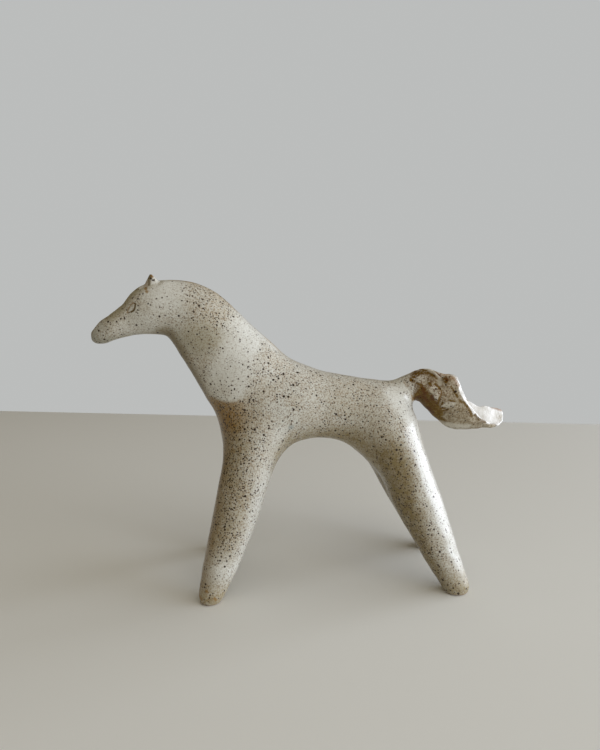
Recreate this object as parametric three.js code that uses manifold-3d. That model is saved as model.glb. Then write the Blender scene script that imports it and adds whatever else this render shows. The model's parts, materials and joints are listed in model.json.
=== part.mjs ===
// Stoneware horse: a small hand-built figure standing on four splayed, tapering legs.
// Millimetres, +Z up. The ground is Z = 0 and the horse faces -X, so its left side is at -Y.
// The body is one worked clay form, made of tapering rolls blended into each other.
// It is parted at the seams where a maker lutes the separately formed pieces together.

import * as THREE from 'three';
import { mergeVertices } from 'three/addons/utils/BufferGeometryUtils.js';
import Module from 'manifold-3d';

const wasm = await Module();
wasm.setup();

// Barrel: a thick roll from the rump forward to the chest
const BARREL_HEIGHT = 100.1;
const RUMP_X = 39.4;
const RUMP_DROP = 3.9;
const RUMP_RADIUS = 17.8;
const LOIN_X = 10.4;
const LOIN_RADIUS = 19.1;
const GIRTH_X = -7.8;
const GIRTH_RISE = 1.7;
const GIRTH_RADIUS = 21.5;
const CHEST_X = -24.4;
const CHEST_RISE = 1.1;
const CHEST_RADIUS = 17.2;
const BARREL_WIDTH_SHARE = 0.95;

// Neck: rises from the chest; each reach and rise is measured from the chest's centre
const NECK_BASE_REACH = 9.9;
const NECK_BASE_RISE = 19.3;
const NECK_BASE_RADIUS = 23.3;
const NECK_TOP_REACH = 31.8;
const NECK_TOP_RISE = 46.4;
const NECK_TOP_RADIUS = 18.6;
const POLL_REACH = 39.8;
const POLL_RISE = 51.9;
const POLL_RADIUS = 16.4;
const NECK_WIDTH_SHARE = 0.84;

// Head: a wedge; each reach and drop is measured from the poll's centre
const CHEEK_REACH = 15.9;
const CHEEK_DROP = -1.6;
const CHEEK_RADIUS = 13.8;
const MUZZLE_REACH = 26.2;
const MUZZLE_DROP = 3;
const MUZZLE_RADIUS = 9.5;
const NOSE_REACH = 45.8;
const NOSE_DROP = 13.1;
const NOSE_RADIUS = 5.2;
const HEAD_WIDTH_SHARE = 0.86;

// Legs: straight rolls with a slight bow towards the arch under the belly
const LEG_TOP_DROP = 17.1;
const FOOT_SOLE_DROP = 3.2;
const FORELEG_TOP_RADIUS = 14.7;
const FORELEG_KNEE_RADIUS = 12.3;
const FORELEG_FETLOCK_RADIUS = 9.5;
const FOREFOOT_RADIUS = 6.7;
const FORELEG_TOP_X = -25.8;
const FOREFOOT_X = -49.8;
const FORELEG_BOW = 1.4;
const FORELEG_TOP_SPREAD = 8;
const FOREFOOT_SPREAD = 32.2;
const HIND_LEG_TOP_RADIUS = 16.3;
const HIND_LEG_HOCK_RADIUS = 12.5;
const HIND_LEG_FETLOCK_RADIUS = 9.4;
const HIND_FOOT_RADIUS = 7.2;
const HIND_LEG_TOP_X = 49.8;
const HIND_FOOT_X = 84.4;
const HIND_LEG_BOW = 0.4;
const HIND_LEG_TOP_SPREAD = 10.2;
const HIND_FOOT_SPREAD = 29.3;
const KNEE_SHARE = 0.5;
const FETLOCK_SHARE = 0.8;

// Tail: a short root roll that opens into a thin curled slab
const TAIL_ROOT_REACH = 24.2;
const TAIL_ROOT_RISE = 13.6;
const TAIL_ROOT_RADIUS = 7.6;
const TAIL_LENGTH = 58;
const TAIL_DEPTH = 34;
const TAIL_HALF_WIDTH = 9;
const TAIL_SLAB = 2.4;
const TAIL_FLANK_SHARE = 0.55;
const TAIL_FLANK_BULGE = 0.62;
const TAIL_FLANK_FADE = 0.35;
const TAIL_RUFFLE = 0.8;
const TAIL_RUFFLE_WAVES = 2.5;

// Ears: small pinched cones set into the poll
const EAR_RADIUS = 3.3;
const EAR_HEIGHT = 4.4;
const EAR_SPREAD = 4;
const EAR_BEHIND_CHEEK = 1.4;
const EAR_LENGTH_SHARE = 1.3;
const EAR_LEAN = 1.9;
const EAR_SPLAY = 0.06;
const EAR_SEAT_DEPTH = 2.4;
const EAR_TIP_RADIUS = 0.9;
const EAR_WAIST_SHARE = 0.75;
const EAR_WAIST_HEIGHT_SHARE = 0.55;

// Eyes: an almond line cut into each side of the head
const EYE_LENGTH = 6.8;
const EYE_HEIGHT = 4;
const EYE_LINE_WIDTH = 0.9;
const EYE_FROM_CHEEK = 10.2;
const EYE_RISE = 0.7;
const EYE_CORNER_SHARPNESS = 0.3;

// Fillets that the clay is worked into where rolls meet
const LEG_BLEND = 23.5;
const NECK_BLEND = 27.3;
const TAIL_BLEND = 9;

// Seams, each at a share of its roll's length, and the gap left between two pieces
const NECK_SEAM_SHARE = 0;
const POLL_SEAM_SHARE = 0.4;
const LEG_SEAM_SHARE = 0.17;
const TAIL_SEAM_SHARE = 0.9;
const SEAM_GAP = 0.3;

// Fineness of the facets
const CELL = 3.7;
const ROLL_STEPS = 7;
const TAIL_ROWS = 18;
const TAIL_COLUMNS = 10;
const EAR_SIDES = 14;
const EAR_SLANT_STEPS = 5;
const EYE_STEPS = 18;
const EYE_LINE_SIDES = 5;

// Space round the horse, and steps of the searches for its skin
const HALF_SPACE = 60;
const FAR = 400;
const SLOPE_STEP = 0.05;
const PULL_PASSES = 3;
const SEARCH_PASSES = 30;

// Worked-out heights that other pieces hang from
const chestHeight = BARREL_HEIGHT + CHEST_RISE;
const pollX = CHEST_X - POLL_REACH;
const pollHeight = chestHeight + POLL_RISE;
const cheekX = pollX - CHEEK_REACH;
const cheekHeight = pollHeight - CHEEK_DROP;
const rumpHeight = BARREL_HEIGHT - RUMP_DROP;
const archX = (LOIN_X + GIRTH_X) / 2;
const halfGap = SEAM_GAP / 2;

function station(x, y, z, radius, width = 1) {
  return { at: new THREE.Vector3(x, y, z), radius, width };
}

// A roll of clay is a smooth chain of short tapering segments through its stations.
function makeRoll(stations) {
  const path = new THREE.CatmullRomCurve3(stations.map((s) => s.at), false, 'centripetal');
  const section = new THREE.CatmullRomCurve3(
    stations.map((s) => new THREE.Vector3(s.radius, s.width, 0)), false, 'catmullrom');
  const count = (stations.length - 1) * ROLL_STEPS;
  const samples = [];
  for (let i = 0; i <= count; i++) {
    const at = path.getPoint(i / count);
    const across = section.getPoint(i / count);
    samples.push({ at, radius: across.x, width: across.y });
  }
  return { samples, path };
}

// Distance from a point to a roll's surface; a roll may be narrower across Y than it is high.
function distanceToRoll(roll, x, y, z) {
  let nearest = Infinity;
  for (let i = 1; i < roll.samples.length; i++) {
    const a = roll.samples[i - 1];
    const b = roll.samples[i];
    const dx = b.at.x - a.at.x;
    const dy = b.at.y - a.at.y;
    const dz = b.at.z - a.at.z;
    const along = ((x - a.at.x) * dx + (y - a.at.y) * dy + (z - a.at.z) * dz)
      / (dx * dx + dy * dy + dz * dz);
    const t = Math.min(1, Math.max(0, along));
    const width = a.width + (b.width - a.width) * t;
    const offX = x - a.at.x - dx * t;
    const offY = (y - a.at.y - dy * t) / width;
    const offZ = z - a.at.z - dz * t;
    const radius = a.radius + (b.radius - a.radius) * t;
    nearest = Math.min(nearest, Math.sqrt(offX * offX + offY * offY + offZ * offZ) - radius);
  }
  return nearest;
}

// Where two rolls meet, a fillet of the given reach is smoothed between them.
function blend(a, b, reach) {
  const overlap = Math.max(reach - Math.abs(a - b), 0) / reach;
  return Math.min(a, b) - (overlap ** 3) * reach / 6;
}

const barrelRoll = makeRoll([
  station(RUMP_X, 0, rumpHeight, RUMP_RADIUS, BARREL_WIDTH_SHARE),
  station(LOIN_X, 0, BARREL_HEIGHT, LOIN_RADIUS, BARREL_WIDTH_SHARE),
  station(GIRTH_X, 0, BARREL_HEIGHT + GIRTH_RISE, GIRTH_RADIUS, BARREL_WIDTH_SHARE),
  station(CHEST_X, 0, chestHeight, CHEST_RADIUS, BARREL_WIDTH_SHARE),
]);

// Neck and head are rolled out as one and parted at the poll.
const neckRoll = makeRoll([
  station(CHEST_X - NECK_BASE_REACH, 0, chestHeight + NECK_BASE_RISE, NECK_BASE_RADIUS,
    NECK_WIDTH_SHARE),
  station(CHEST_X - NECK_TOP_REACH, 0, chestHeight + NECK_TOP_RISE, NECK_TOP_RADIUS,
    NECK_WIDTH_SHARE),
  station(pollX, 0, pollHeight, POLL_RADIUS, HEAD_WIDTH_SHARE),
  station(cheekX, 0, cheekHeight, CHEEK_RADIUS, HEAD_WIDTH_SHARE),
  station(pollX - MUZZLE_REACH, 0, pollHeight - MUZZLE_DROP, MUZZLE_RADIUS, HEAD_WIDTH_SHARE),
  station(pollX - NOSE_REACH, 0, pollHeight - NOSE_DROP, NOSE_RADIUS, 1),
]);

// A leg runs from its top to its foot with a slight bow, and tapers through four radii:
// at the top, the knee or hock, the fetlock and the foot.
function makeLeg(top, foot, bow, radii) {
  const shares = [0, KNEE_SHARE, FETLOCK_SHARE, 1];
  return makeRoll(shares.map((share, i) => {
    const at = top.clone().lerp(foot, share);
    at.x += bow * Math.sin(Math.PI * share);
    return station(at.x, at.y, at.z, radii[i]);
  }));
}

// side is -1 on the horse's left and 1 on its right.
function makeForeleg(side) {
  return makeLeg(
    new THREE.Vector3(FORELEG_TOP_X, side * FORELEG_TOP_SPREAD, BARREL_HEIGHT - LEG_TOP_DROP),
    new THREE.Vector3(FOREFOOT_X, side * FOREFOOT_SPREAD, FOOT_SOLE_DROP),
    FORELEG_BOW,
    [FORELEG_TOP_RADIUS, FORELEG_KNEE_RADIUS, FORELEG_FETLOCK_RADIUS, FOREFOOT_RADIUS]);
}

function makeHindLeg(side) {
  return makeLeg(
    new THREE.Vector3(HIND_LEG_TOP_X, side * HIND_LEG_TOP_SPREAD, BARREL_HEIGHT - LEG_TOP_DROP),
    new THREE.Vector3(HIND_FOOT_X, side * HIND_FOOT_SPREAD, FOOT_SOLE_DROP),
    -HIND_LEG_BOW,
    [HIND_LEG_TOP_RADIUS, HIND_LEG_HOCK_RADIUS, HIND_LEG_FETLOCK_RADIUS, HIND_FOOT_RADIUS]);
}

const legs = {
  left_foreleg: { roll: makeForeleg(-1), side: -1, fore: true },
  right_foreleg: { roll: makeForeleg(1), side: 1, fore: true },
  left_hind_leg: { roll: makeHindLeg(-1), side: -1, fore: false },
  right_hind_leg: { roll: makeHindLeg(1), side: 1, fore: false },
};

const tailRootEnd = new THREE.Vector3(
  RUMP_X + TAIL_ROOT_REACH, 0, rumpHeight + TAIL_ROOT_RISE);
const tailRoot = makeRoll([
  station(RUMP_X, 0, rumpHeight, TAIL_ROOT_RADIUS),
  station(tailRootEnd.x, 0, tailRootEnd.z, TAIL_ROOT_RADIUS),
]);

// The whole worked form: negative inside the clay, zero on its skin.
function clayForm(x, y, z) {
  let form = blend(distanceToRoll(barrelRoll, x, y, z), distanceToRoll(neckRoll, x, y, z),
    NECK_BLEND);
  for (const leg of Object.values(legs)) {
    form = blend(form, distanceToRoll(leg.roll, x, y, z), LEG_BLEND);
  }
  return blend(form, distanceToRoll(tailRoot, x, y, z), TAIL_BLEND);
}

// Moves a point onto the skin along the steepest way of the form.
function pullToSkin(form, point) {
  for (let pass = 0; pass < PULL_PASSES; pass++) {
    const value = form(point.x, point.y, point.z);
    const slope = new THREE.Vector3(
      form(point.x + SLOPE_STEP, point.y, point.z) - value,
      form(point.x, point.y + SLOPE_STEP, point.z) - value,
      form(point.x, point.y, point.z + SLOPE_STEP) - value).divideScalar(SLOPE_STEP);
    point.addScaledVector(slope, -value / slope.lengthSq());
  }
  return point;
}

// Covers a form with a closed net of facets: one point for each grid cell that the skin
// passes through, and two triangles for each grid edge that it crosses.
function netOver(form, low, high) {
  const size = high.clone().sub(low);
  const nx = Math.ceil(size.x / CELL) + 1;
  const ny = Math.ceil(size.y / CELL) + 1;
  const nz = Math.ceil(size.z / CELL) + 1;
  const gridIndex = (i, j, k) => (k * ny + j) * nx + i;
  const values = new Float64Array(nx * ny * nz);
  for (let k = 0; k < nz; k++) {
    for (let j = 0; j < ny; j++) {
      for (let i = 0; i < nx; i++) {
        values[gridIndex(i, j, k)] = form(low.x + i * CELL, low.y + j * CELL, low.z + k * CELL);
      }
    }
  }

  const corners = [[0, 0, 0], [1, 0, 0], [0, 1, 0], [1, 1, 0], [0, 0, 1], [1, 0, 1], [0, 1, 1],
    [1, 1, 1]];
  const edges = [[0, 1], [2, 3], [4, 5], [6, 7], [0, 2], [1, 3], [4, 6], [5, 7], [0, 4], [1, 5],
    [2, 6], [3, 7]];
  const points = [];
  const pointOfCell = new Map();
  for (let k = 0; k < nz - 1; k++) {
    for (let j = 0; j < ny - 1; j++) {
      for (let i = 0; i < nx - 1; i++) {
        const sum = new THREE.Vector3();
        let crossings = 0;
        for (const [a, b] of edges) {
          const [ai, aj, ak] = corners[a];
          const [bi, bj, bk] = corners[b];
          const va = values[gridIndex(i + ai, j + aj, k + ak)];
          const vb = values[gridIndex(i + bi, j + bj, k + bk)];
          if ((va < 0) === (vb < 0)) continue;
          const t = va / (va - vb);
          sum.x += ai + (bi - ai) * t;
          sum.y += aj + (bj - aj) * t;
          sum.z += ak + (bk - ak) * t;
          crossings += 1;
        }
        if (crossings === 0) continue;
        const point = new THREE.Vector3(i, j, k).addScaledVector(sum, 1 / crossings)
          .multiplyScalar(CELL).add(low);
        pointOfCell.set(gridIndex(i, j, k), points.length);
        points.push(pullToSkin(form, point));
      }
    }
  }

  const triangles = [];
  const addQuad = (a, b, c, d) => {
    const shortWay = points[a].distanceTo(points[c]) < points[b].distanceTo(points[d]);
    if (shortWay) triangles.push(a, b, c, a, c, d);
    else triangles.push(a, b, d, b, c, d);
  };
  const steps = [[1, 0, 0], [0, 1, 0], [0, 0, 1]];
  for (let k = 1; k < nz - 1; k++) {
    for (let j = 1; j < ny - 1; j++) {
      for (let i = 1; i < nx - 1; i++) {
        for (let axis = 0; axis < 3; axis++) {
          const along = steps[axis];
          const u = steps[(axis + 1) % 3];
          const v = steps[(axis + 2) % 3];
          const here = values[gridIndex(i, j, k)] < 0;
          const there = values[gridIndex(i + along[0], j + along[1], k + along[2])] < 0;
          if (here === there) continue;
          const cell = (du, dv) => pointOfCell.get(gridIndex(
            i - du * u[0] - dv * v[0], j - du * u[1] - dv * v[1], k - du * u[2] - dv * v[2]));
          const ring = [cell(1, 1), cell(0, 1), cell(0, 0), cell(1, 0)];
          if (here) addQuad(...ring);
          else addQuad(...ring.reverse());
        }
      }
    }
  }
  return toSolid(points, triangles);
}

function toSolid(points, triangles) {
  const geometry = new THREE.BufferGeometry().setFromPoints(points).setIndex(triangles);
  return solidOf(geometry);
}

// Turns a three.js geometry into a solid: shared corners are merged, and facets that shrink
// to a line at a pole are dropped.
function solidOf(geometry) {
  const bare = geometry.clone();
  bare.deleteAttribute('normal');
  bare.deleteAttribute('uv');
  const merged = mergeVertices(bare);
  const corners = merged.index.array;
  const triangles = [];
  for (let i = 0; i < corners.length; i += 3) {
    const [a, b, c] = corners.slice(i, i + 3);
    if (a !== b && b !== c && c !== a) triangles.push(a, b, c);
  }
  return new wasm.Manifold(new wasm.Mesh({
    numProp: 3,
    vertProperties: merged.getAttribute('position').array,
    triVerts: new Uint32Array(triangles),
  }));
}

// All the space on the far side of a plane, as a very large block.
function spaceBeyond(point, normal) {
  const turn = new THREE.Quaternion().setFromUnitVectors(new THREE.Vector3(0, 0, 1), normal);
  const matrix = new THREE.Matrix4().compose(point, turn, new THREE.Vector3(1, 1, 1));
  const block = new THREE.BoxGeometry(2 * FAR, 2 * FAR, FAR).translate(0, 0, FAR / 2);
  return solidOf(block.applyMatrix4(matrix));
}

// A seam is a plane square to a roll, at a share of its length; a shift moves it along.
function seamOn(roll, share) {
  const point = roll.path.getPoint(share);
  const normal = roll.path.getTangent(share);
  return (shift) => spaceBeyond(point.clone().addScaledVector(normal, shift), normal);
}

const neckSeam = seamOn(neckRoll, NECK_SEAM_SHARE);
const pollSeam = seamOn(neckRoll, POLL_SEAM_SHARE);
const tailSeam = seamOn(tailRoot, TAIL_SEAM_SHARE);

// A leg's share of space: beyond its seam, on its own side of the centre plane, and on its
// own side of the arch.
function spaceOfLeg(leg, shift) {
  const seam = seamOn(leg.roll, LEG_SEAM_SHARE)(shift);
  const centre = new THREE.Vector3(0, leg.side * shift, 0);
  const side = spaceBeyond(centre, new THREE.Vector3(0, leg.side, 0));
  const arch = spaceBeyond(new THREE.Vector3(archX, 0, 0),
    new THREE.Vector3(leg.fore ? -1 : 1, 0, 0));
  return seam.intersect(side).intersect(arch);
}

// The slab of the tail hangs between three rails: the keel below and a lip on each side.
// Each rail's points are shares of the tail's length, half width and depth from its root.
function tailRail(shares) {
  return new THREE.CatmullRomCurve3(shares.map(([along, across, up]) => new THREE.Vector3(
    tailRootEnd.x + along * TAIL_LENGTH,
    across * TAIL_HALF_WIDTH,
    tailRootEnd.z + up * TAIL_DEPTH)), false, 'centripetal');
}

const keel = tailRail([[0.04, 0, -0.18], [0.16, 0, -0.37], [0.285, 0, -0.56], [0.42, 0, -0.69],
  [0.6, 0, -0.71], [0.8, 0, -0.68], [0.98, 0, -0.6]]);
const leftLip = tailRail([[0, -0.2, 0.17], [0.13, -0.3, 0.28], [0.27, -0.5, 0.21],
  [0.41, -0.83, 0.1], [0.49, -0.94, -0.16], [0.61, -0.89, -0.42], [0.8, -0.55, -0.6]]);
const rightLip = tailRail([[0, 0.2, 0.17], [0.13, 0.3, 0.27], [0.3, 0.55, 0.19],
  [0.47, 0.83, 0.12], [0.515, 0.94, -0.2], [0.73, 1, -0.4], [0.96, 0.72, -0.46]]);

// A thin slab laid over a net of points: the net is pushed out by half the slab on each
// side, and its rim is closed.
function makeTailSlab() {
  const rows = TAIL_ROWS;
  const columns = TAIL_COLUMNS;
  const middle = [];
  for (let i = 0; i <= rows; i++) {
    const s = i / rows;
    const bulge = TAIL_FLANK_BULGE * (1 - TAIL_FLANK_FADE * s) * TAIL_HALF_WIDTH;
    const left = leftLip.getPoint(s);
    const right = rightLip.getPoint(s);
    const low = keel.getPoint(s);
    const flank = (lip, side) => lip.clone().lerp(low, TAIL_FLANK_SHARE)
      .add(new THREE.Vector3(0, side * bulge, 0));
    const arc = new THREE.CatmullRomCurve3(
      [left, flank(left, -1), low, flank(right, 1), right], false, 'centripetal');
    for (let j = 0; j <= columns; j++) {
      const point = arc.getPoint(j / columns);
      const lipShare = Math.abs(2 * j / columns - 1) ** 2;
      const wave = Math.sin(s * TAIL_RUFFLE_WAVES * 2 * Math.PI + j);
      point.y += TAIL_RUFFLE * lipShare * s * wave;
      middle.push(point);
    }
  }
  const at = (i, j) => middle[i * (columns + 1) + j];
  const points = [[], []];
  for (let i = 0; i <= rows; i++) {
    for (let j = 0; j <= columns; j++) {
      const alongRow = at(Math.min(i + 1, rows), j).clone().sub(at(Math.max(i - 1, 0), j));
      const acrossRow = at(i, Math.min(j + 1, columns)).clone().sub(at(i, Math.max(j - 1, 0)));
      const out = alongRow.cross(acrossRow).normalize().multiplyScalar(TAIL_SLAB / 2);
      points[0].push(at(i, j).clone().add(out));
      points[1].push(at(i, j).clone().sub(out));
    }
  }
  const count = middle.length;
  const id = (face, i, j) => face * count + i * (columns + 1) + j;
  const triangles = [];
  const quad = (a, b, c, d) => triangles.push(a, b, c, a, c, d);
  for (let i = 0; i < rows; i++) {
    for (let j = 0; j < columns; j++) {
      quad(id(0, i, j), id(0, i + 1, j), id(0, i + 1, j + 1), id(0, i, j + 1));
      quad(id(1, i, j), id(1, i, j + 1), id(1, i + 1, j + 1), id(1, i + 1, j));
    }
    quad(id(0, i, 0), id(1, i, 0), id(1, i + 1, 0), id(0, i + 1, 0));
    quad(id(0, i, columns), id(0, i + 1, columns), id(1, i + 1, columns), id(1, i, columns));
  }
  for (let j = 0; j < columns; j++) {
    quad(id(0, 0, j), id(0, 0, j + 1), id(1, 0, j + 1), id(1, 0, j));
    quad(id(0, rows, j), id(1, rows, j), id(1, rows, j + 1), id(0, rows, j + 1));
  }
  return toSolid([...points[0], ...points[1]], triangles);
}

// Finds the skin on a straight way into the form.
function skinAlong(start, direction) {
  let near = 0;
  let far = HALF_SPACE;
  for (let pass = 0; pass < SEARCH_PASSES; pass++) {
    const mid = (near + far) / 2;
    const p = start.clone().addScaledVector(direction, mid);
    if (clayForm(p.x, p.y, p.z) < 0) far = mid;
    else near = mid;
  }
  return start.clone().addScaledVector(direction, near);
}

// An ear is a cone with a rounded tip and a foot that sits in a socket of the head.
function earShape(side, grow) {
  const radius = EAR_RADIUS + grow;
  const profile = [new THREE.Vector2(0, -EAR_SEAT_DEPTH - grow),
    new THREE.Vector2(radius, -EAR_SEAT_DEPTH - grow)];
  const slant = new THREE.QuadraticBezierCurve(
    new THREE.Vector2(radius, 0),
    new THREE.Vector2(radius * EAR_WAIST_SHARE, EAR_HEIGHT * EAR_WAIST_HEIGHT_SHARE),
    new THREE.Vector2(EAR_TIP_RADIUS + grow, EAR_HEIGHT - EAR_TIP_RADIUS));
  profile.push(...slant.getPoints(EAR_SLANT_STEPS));
  profile.push(new THREE.Vector2(0, EAR_HEIGHT + grow));
  const cone = new THREE.LatheGeometry(profile, EAR_SIDES).rotateX(Math.PI / 2)
    .scale(EAR_LENGTH_SHARE, 1, 1);
  const pinch = new THREE.Matrix4().makeShear(0, 0, 0, 0, -EAR_LEAN / EAR_HEIGHT, 0);
  cone.applyMatrix4(pinch);
  const above = new THREE.Vector3(cheekX + EAR_BEHIND_CHEEK, side * EAR_SPREAD,
    pollHeight + 2 * POLL_RADIUS);
  const seat = skinAlong(above, new THREE.Vector3(0, 0, -1));
  const lean = new THREE.Quaternion().setFromEuler(new THREE.Euler(-side * EAR_SPLAY, 0, 0));
  const matrix = new THREE.Matrix4().compose(seat, lean, new THREE.Vector3(1, 1, 1));
  return solidOf(cone.applyMatrix4(matrix));
}

// The eye line runs round an almond of two arcs and is scored half its width deep.
function eyeLine(side) {
  const ring = [];
  const foreheadFall = CHEEK_RADIUS - CHEEK_DROP - (MUZZLE_RADIUS - MUZZLE_DROP);
  const tilt = Math.atan2(foreheadFall, MUZZLE_REACH - CHEEK_REACH);
  const centre = new THREE.Vector3(cheekX - EYE_FROM_CHEEK, 0, cheekHeight + EYE_RISE);
  for (let i = 0; i < EYE_STEPS; i++) {
    const angle = (i / EYE_STEPS) * 2 * Math.PI;
    const along = -Math.cos(angle) * EYE_LENGTH / 2;
    const pinch = Math.abs(Math.sin(angle)) ** EYE_CORNER_SHARPNESS;
    const up = Math.sin(angle) * pinch * EYE_HEIGHT / 2;
    const x = centre.x + along * Math.cos(tilt) - up * Math.sin(tilt);
    const z = centre.z + along * Math.sin(tilt) + up * Math.cos(tilt);
    const beside = new THREE.Vector3(x, side * HALF_SPACE, z);
    ring.push(skinAlong(beside, new THREE.Vector3(0, -side, 0)));
  }
  const path = new THREE.CatmullRomCurve3(ring, true, 'centripetal');
  return solidOf(new THREE.TubeGeometry(
    path, 2 * EYE_STEPS, EYE_LINE_WIDTH / 2, EYE_LINE_SIDES, true));
}

// The form, parted into pieces
const low = new THREE.Vector3(
  pollX - NOSE_REACH - 2 * NOSE_RADIUS, -HALF_SPACE, -4 * FOREFOOT_RADIUS);
const high = new THREE.Vector3(
  HIND_FOOT_X + 4 * HIND_FOOT_RADIUS, HALF_SPACE, pollHeight + 2 * POLL_RADIUS);
const aboveGround = spaceBeyond(new THREE.Vector3(0, 0, 0), new THREE.Vector3(0, 0, 1));
const body = netOver(clayForm, low, high).intersect(aboveGround);

const solids = {};
solids.barrel = body.subtract(neckSeam(-halfGap)).subtract(tailSeam(-halfGap));
for (const [name, leg] of Object.entries(legs)) {
  solids[name] = body.intersect(spaceOfLeg(leg, halfGap));
  solids.barrel = solids.barrel.subtract(spaceOfLeg(leg, -halfGap));
}
const front = body.intersect(neckSeam(halfGap));
solids.neck = front.subtract(pollSeam(-halfGap));
solids.head = front.intersect(pollSeam(halfGap));
solids.left_ear = earShape(-1, 0);
solids.right_ear = earShape(1, 0);
for (const side of [-1, 1]) {
  solids.head = solids.head.subtract(earShape(side, SEAM_GAP)).subtract(eyeLine(side));
}
solids.tail = body.add(makeTailSlab()).intersect(tailSeam(halfGap));

const finishes = {
  barrel: { color: '#b9b3a4', roughness: 0.5 },
  neck: { color: '#c6c2b6', roughness: 0.5 },
  head: { color: '#bdb7a9', roughness: 0.5 },
  left_ear: { color: '#8f7c60', roughness: 0.55 },
  right_ear: { color: '#8f7c60', roughness: 0.55 },
  left_foreleg: { color: '#a99f88', roughness: 0.5 },
  right_foreleg: { color: '#a99f88', roughness: 0.5 },
  left_hind_leg: { color: '#b4ad9c', roughness: 0.5 },
  right_hind_leg: { color: '#b4ad9c', roughness: 0.5 },
  tail: { color: '#a08d6c', roughness: 0.45 },
};

const horse = new THREE.Group();
for (const [name, solid] of Object.entries(solids)) {
  const mesh = solid.getMesh();
  const geometry = new THREE.BufferGeometry();
  geometry.setAttribute('position', new THREE.BufferAttribute(mesh.vertProperties, 3));
  geometry.setIndex(new THREE.BufferAttribute(mesh.triVerts, 1));
  const material = new THREE.MeshStandardMaterial({ ...finishes[name], metalness: 0 });
  const piece = new THREE.Mesh(geometry, material);
  piece.name = name;
  horse.add(piece);
}

// The origin is on the ground, under the middle of the horse's length.
const extent = new THREE.Box3().setFromObject(horse);
horse.position.x = -(extent.min.x + extent.max.x) / 2;

export default horse;
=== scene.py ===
"""Dresses the stoneware horse: a hand-built figure under a satin, iron-speckled glaze."""

import json
import math

import bpy
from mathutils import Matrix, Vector

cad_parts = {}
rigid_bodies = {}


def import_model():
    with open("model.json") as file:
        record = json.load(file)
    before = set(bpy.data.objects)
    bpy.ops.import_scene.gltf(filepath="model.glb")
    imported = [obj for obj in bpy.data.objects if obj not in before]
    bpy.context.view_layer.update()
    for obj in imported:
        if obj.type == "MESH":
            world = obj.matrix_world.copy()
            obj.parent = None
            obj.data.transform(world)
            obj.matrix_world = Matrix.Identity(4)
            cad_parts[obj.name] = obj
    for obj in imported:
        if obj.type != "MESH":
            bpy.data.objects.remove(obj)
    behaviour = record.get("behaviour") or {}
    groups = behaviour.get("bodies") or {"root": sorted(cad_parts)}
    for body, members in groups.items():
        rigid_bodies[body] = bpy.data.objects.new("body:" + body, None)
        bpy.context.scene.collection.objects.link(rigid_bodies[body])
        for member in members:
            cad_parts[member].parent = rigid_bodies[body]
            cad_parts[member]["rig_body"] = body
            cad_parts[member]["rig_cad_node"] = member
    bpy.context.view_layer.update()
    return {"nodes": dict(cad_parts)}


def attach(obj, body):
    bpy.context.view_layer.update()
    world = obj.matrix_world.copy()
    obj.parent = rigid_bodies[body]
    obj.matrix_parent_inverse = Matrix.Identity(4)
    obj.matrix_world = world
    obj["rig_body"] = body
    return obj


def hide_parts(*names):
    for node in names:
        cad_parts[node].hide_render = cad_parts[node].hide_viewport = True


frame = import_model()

# The rolls of clay
# Barrel, neck, head and legs are rolled and tapered separately and set together with slip, and
# each ear is a small pinched cone. The near hind leg is worked thinner at its front.

MM = 0.001
SIDES = (-1, 1)  # the horse's left side, towards the camera, and its right side
CLAY_ROLLS = ["barrel", "neck", "head", "left_foreleg", "right_foreleg", "left_hind_leg",
              "right_hind_leg"]
TAIL_STUB_END = ((64 * MM, 0, 0), (1, 0, 0))
# Each pull is a place in millimetres, how far it is drawn and how far round it the clay follows.
BODY_PULLS = [
    ((41, -18, 60), (1.5, 0.5, 0.9), 15),      # the front of the near hind leg
    ((-90, 0, 143), (0, 0, -1.2), 13),         # the underside of the jaw
    ((-111.5, 0, 146.5), (-0.5, 0, 0.9), 7),   # the bridge of the nose
    ((-112, 0, 137.5), (0, 0, -0.6), 6),       # the chin
    ((-116.5, 0, 144), (0.7, 0, -0.5), 4),     # the muzzle, pressed back above
    ((-116.5, 0, 138.5), (-0.6, 0, -0.2), 4),  # the muzzle, drawn out below
]
EAR_MIDDLE = {-1: (-82.8, -3.4, 168.4), 1: (-83.9, 3.4, 168.0)}
EAR_HEIGHT = 9.7 * MM
EAR_FOOT_RADIUS = 7.6 * MM
EAR_TIP_RADIUS = 0.45 * MM
EAR_PINCH = 0.62
EAR_LEAN = Vector((-1.2, -0.8, 0)) * MM


def select_only(*pieces):
    """Selects the pieces and makes the last one active."""
    bpy.ops.object.select_all(action="DESELECT")
    for piece in pieces:
        piece.select_set(True)
    bpy.context.view_layer.objects.active = pieces[-1]


def join(*pieces):
    """Joins pieces into the last one."""
    select_only(*pieces)
    bpy.ops.object.join()
    return bpy.context.object


def copy_nodes(*names):
    """Joins copies of CAD nodes into one loose piece with its doubles merged."""
    select_only(*[frame["nodes"][name] for name in names])
    bpy.ops.object.duplicate()
    bpy.ops.object.join()
    piece = bpy.context.object
    piece.parent = None
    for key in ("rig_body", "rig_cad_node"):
        del piece[key]
    bpy.ops.object.mode_set(mode="EDIT")
    bpy.ops.mesh.select_all(action="SELECT")
    bpy.ops.mesh.remove_doubles(threshold=0.01 * MM)
    bpy.ops.object.mode_set(mode="OBJECT")
    return piece


def cut_away(piece, *cuts):
    """Cuts off what lies outward of each plane, a point and a direction, and closes the cut."""
    select_only(piece)
    bpy.ops.object.mode_set(mode="EDIT")
    for point, outward in cuts:
        bpy.ops.mesh.select_all(action="SELECT")
        bpy.ops.mesh.bisect(
            plane_co=point, plane_no=outward, use_fill=True, clear_outer=True)
    bpy.ops.object.mode_set(mode="OBJECT")


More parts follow.
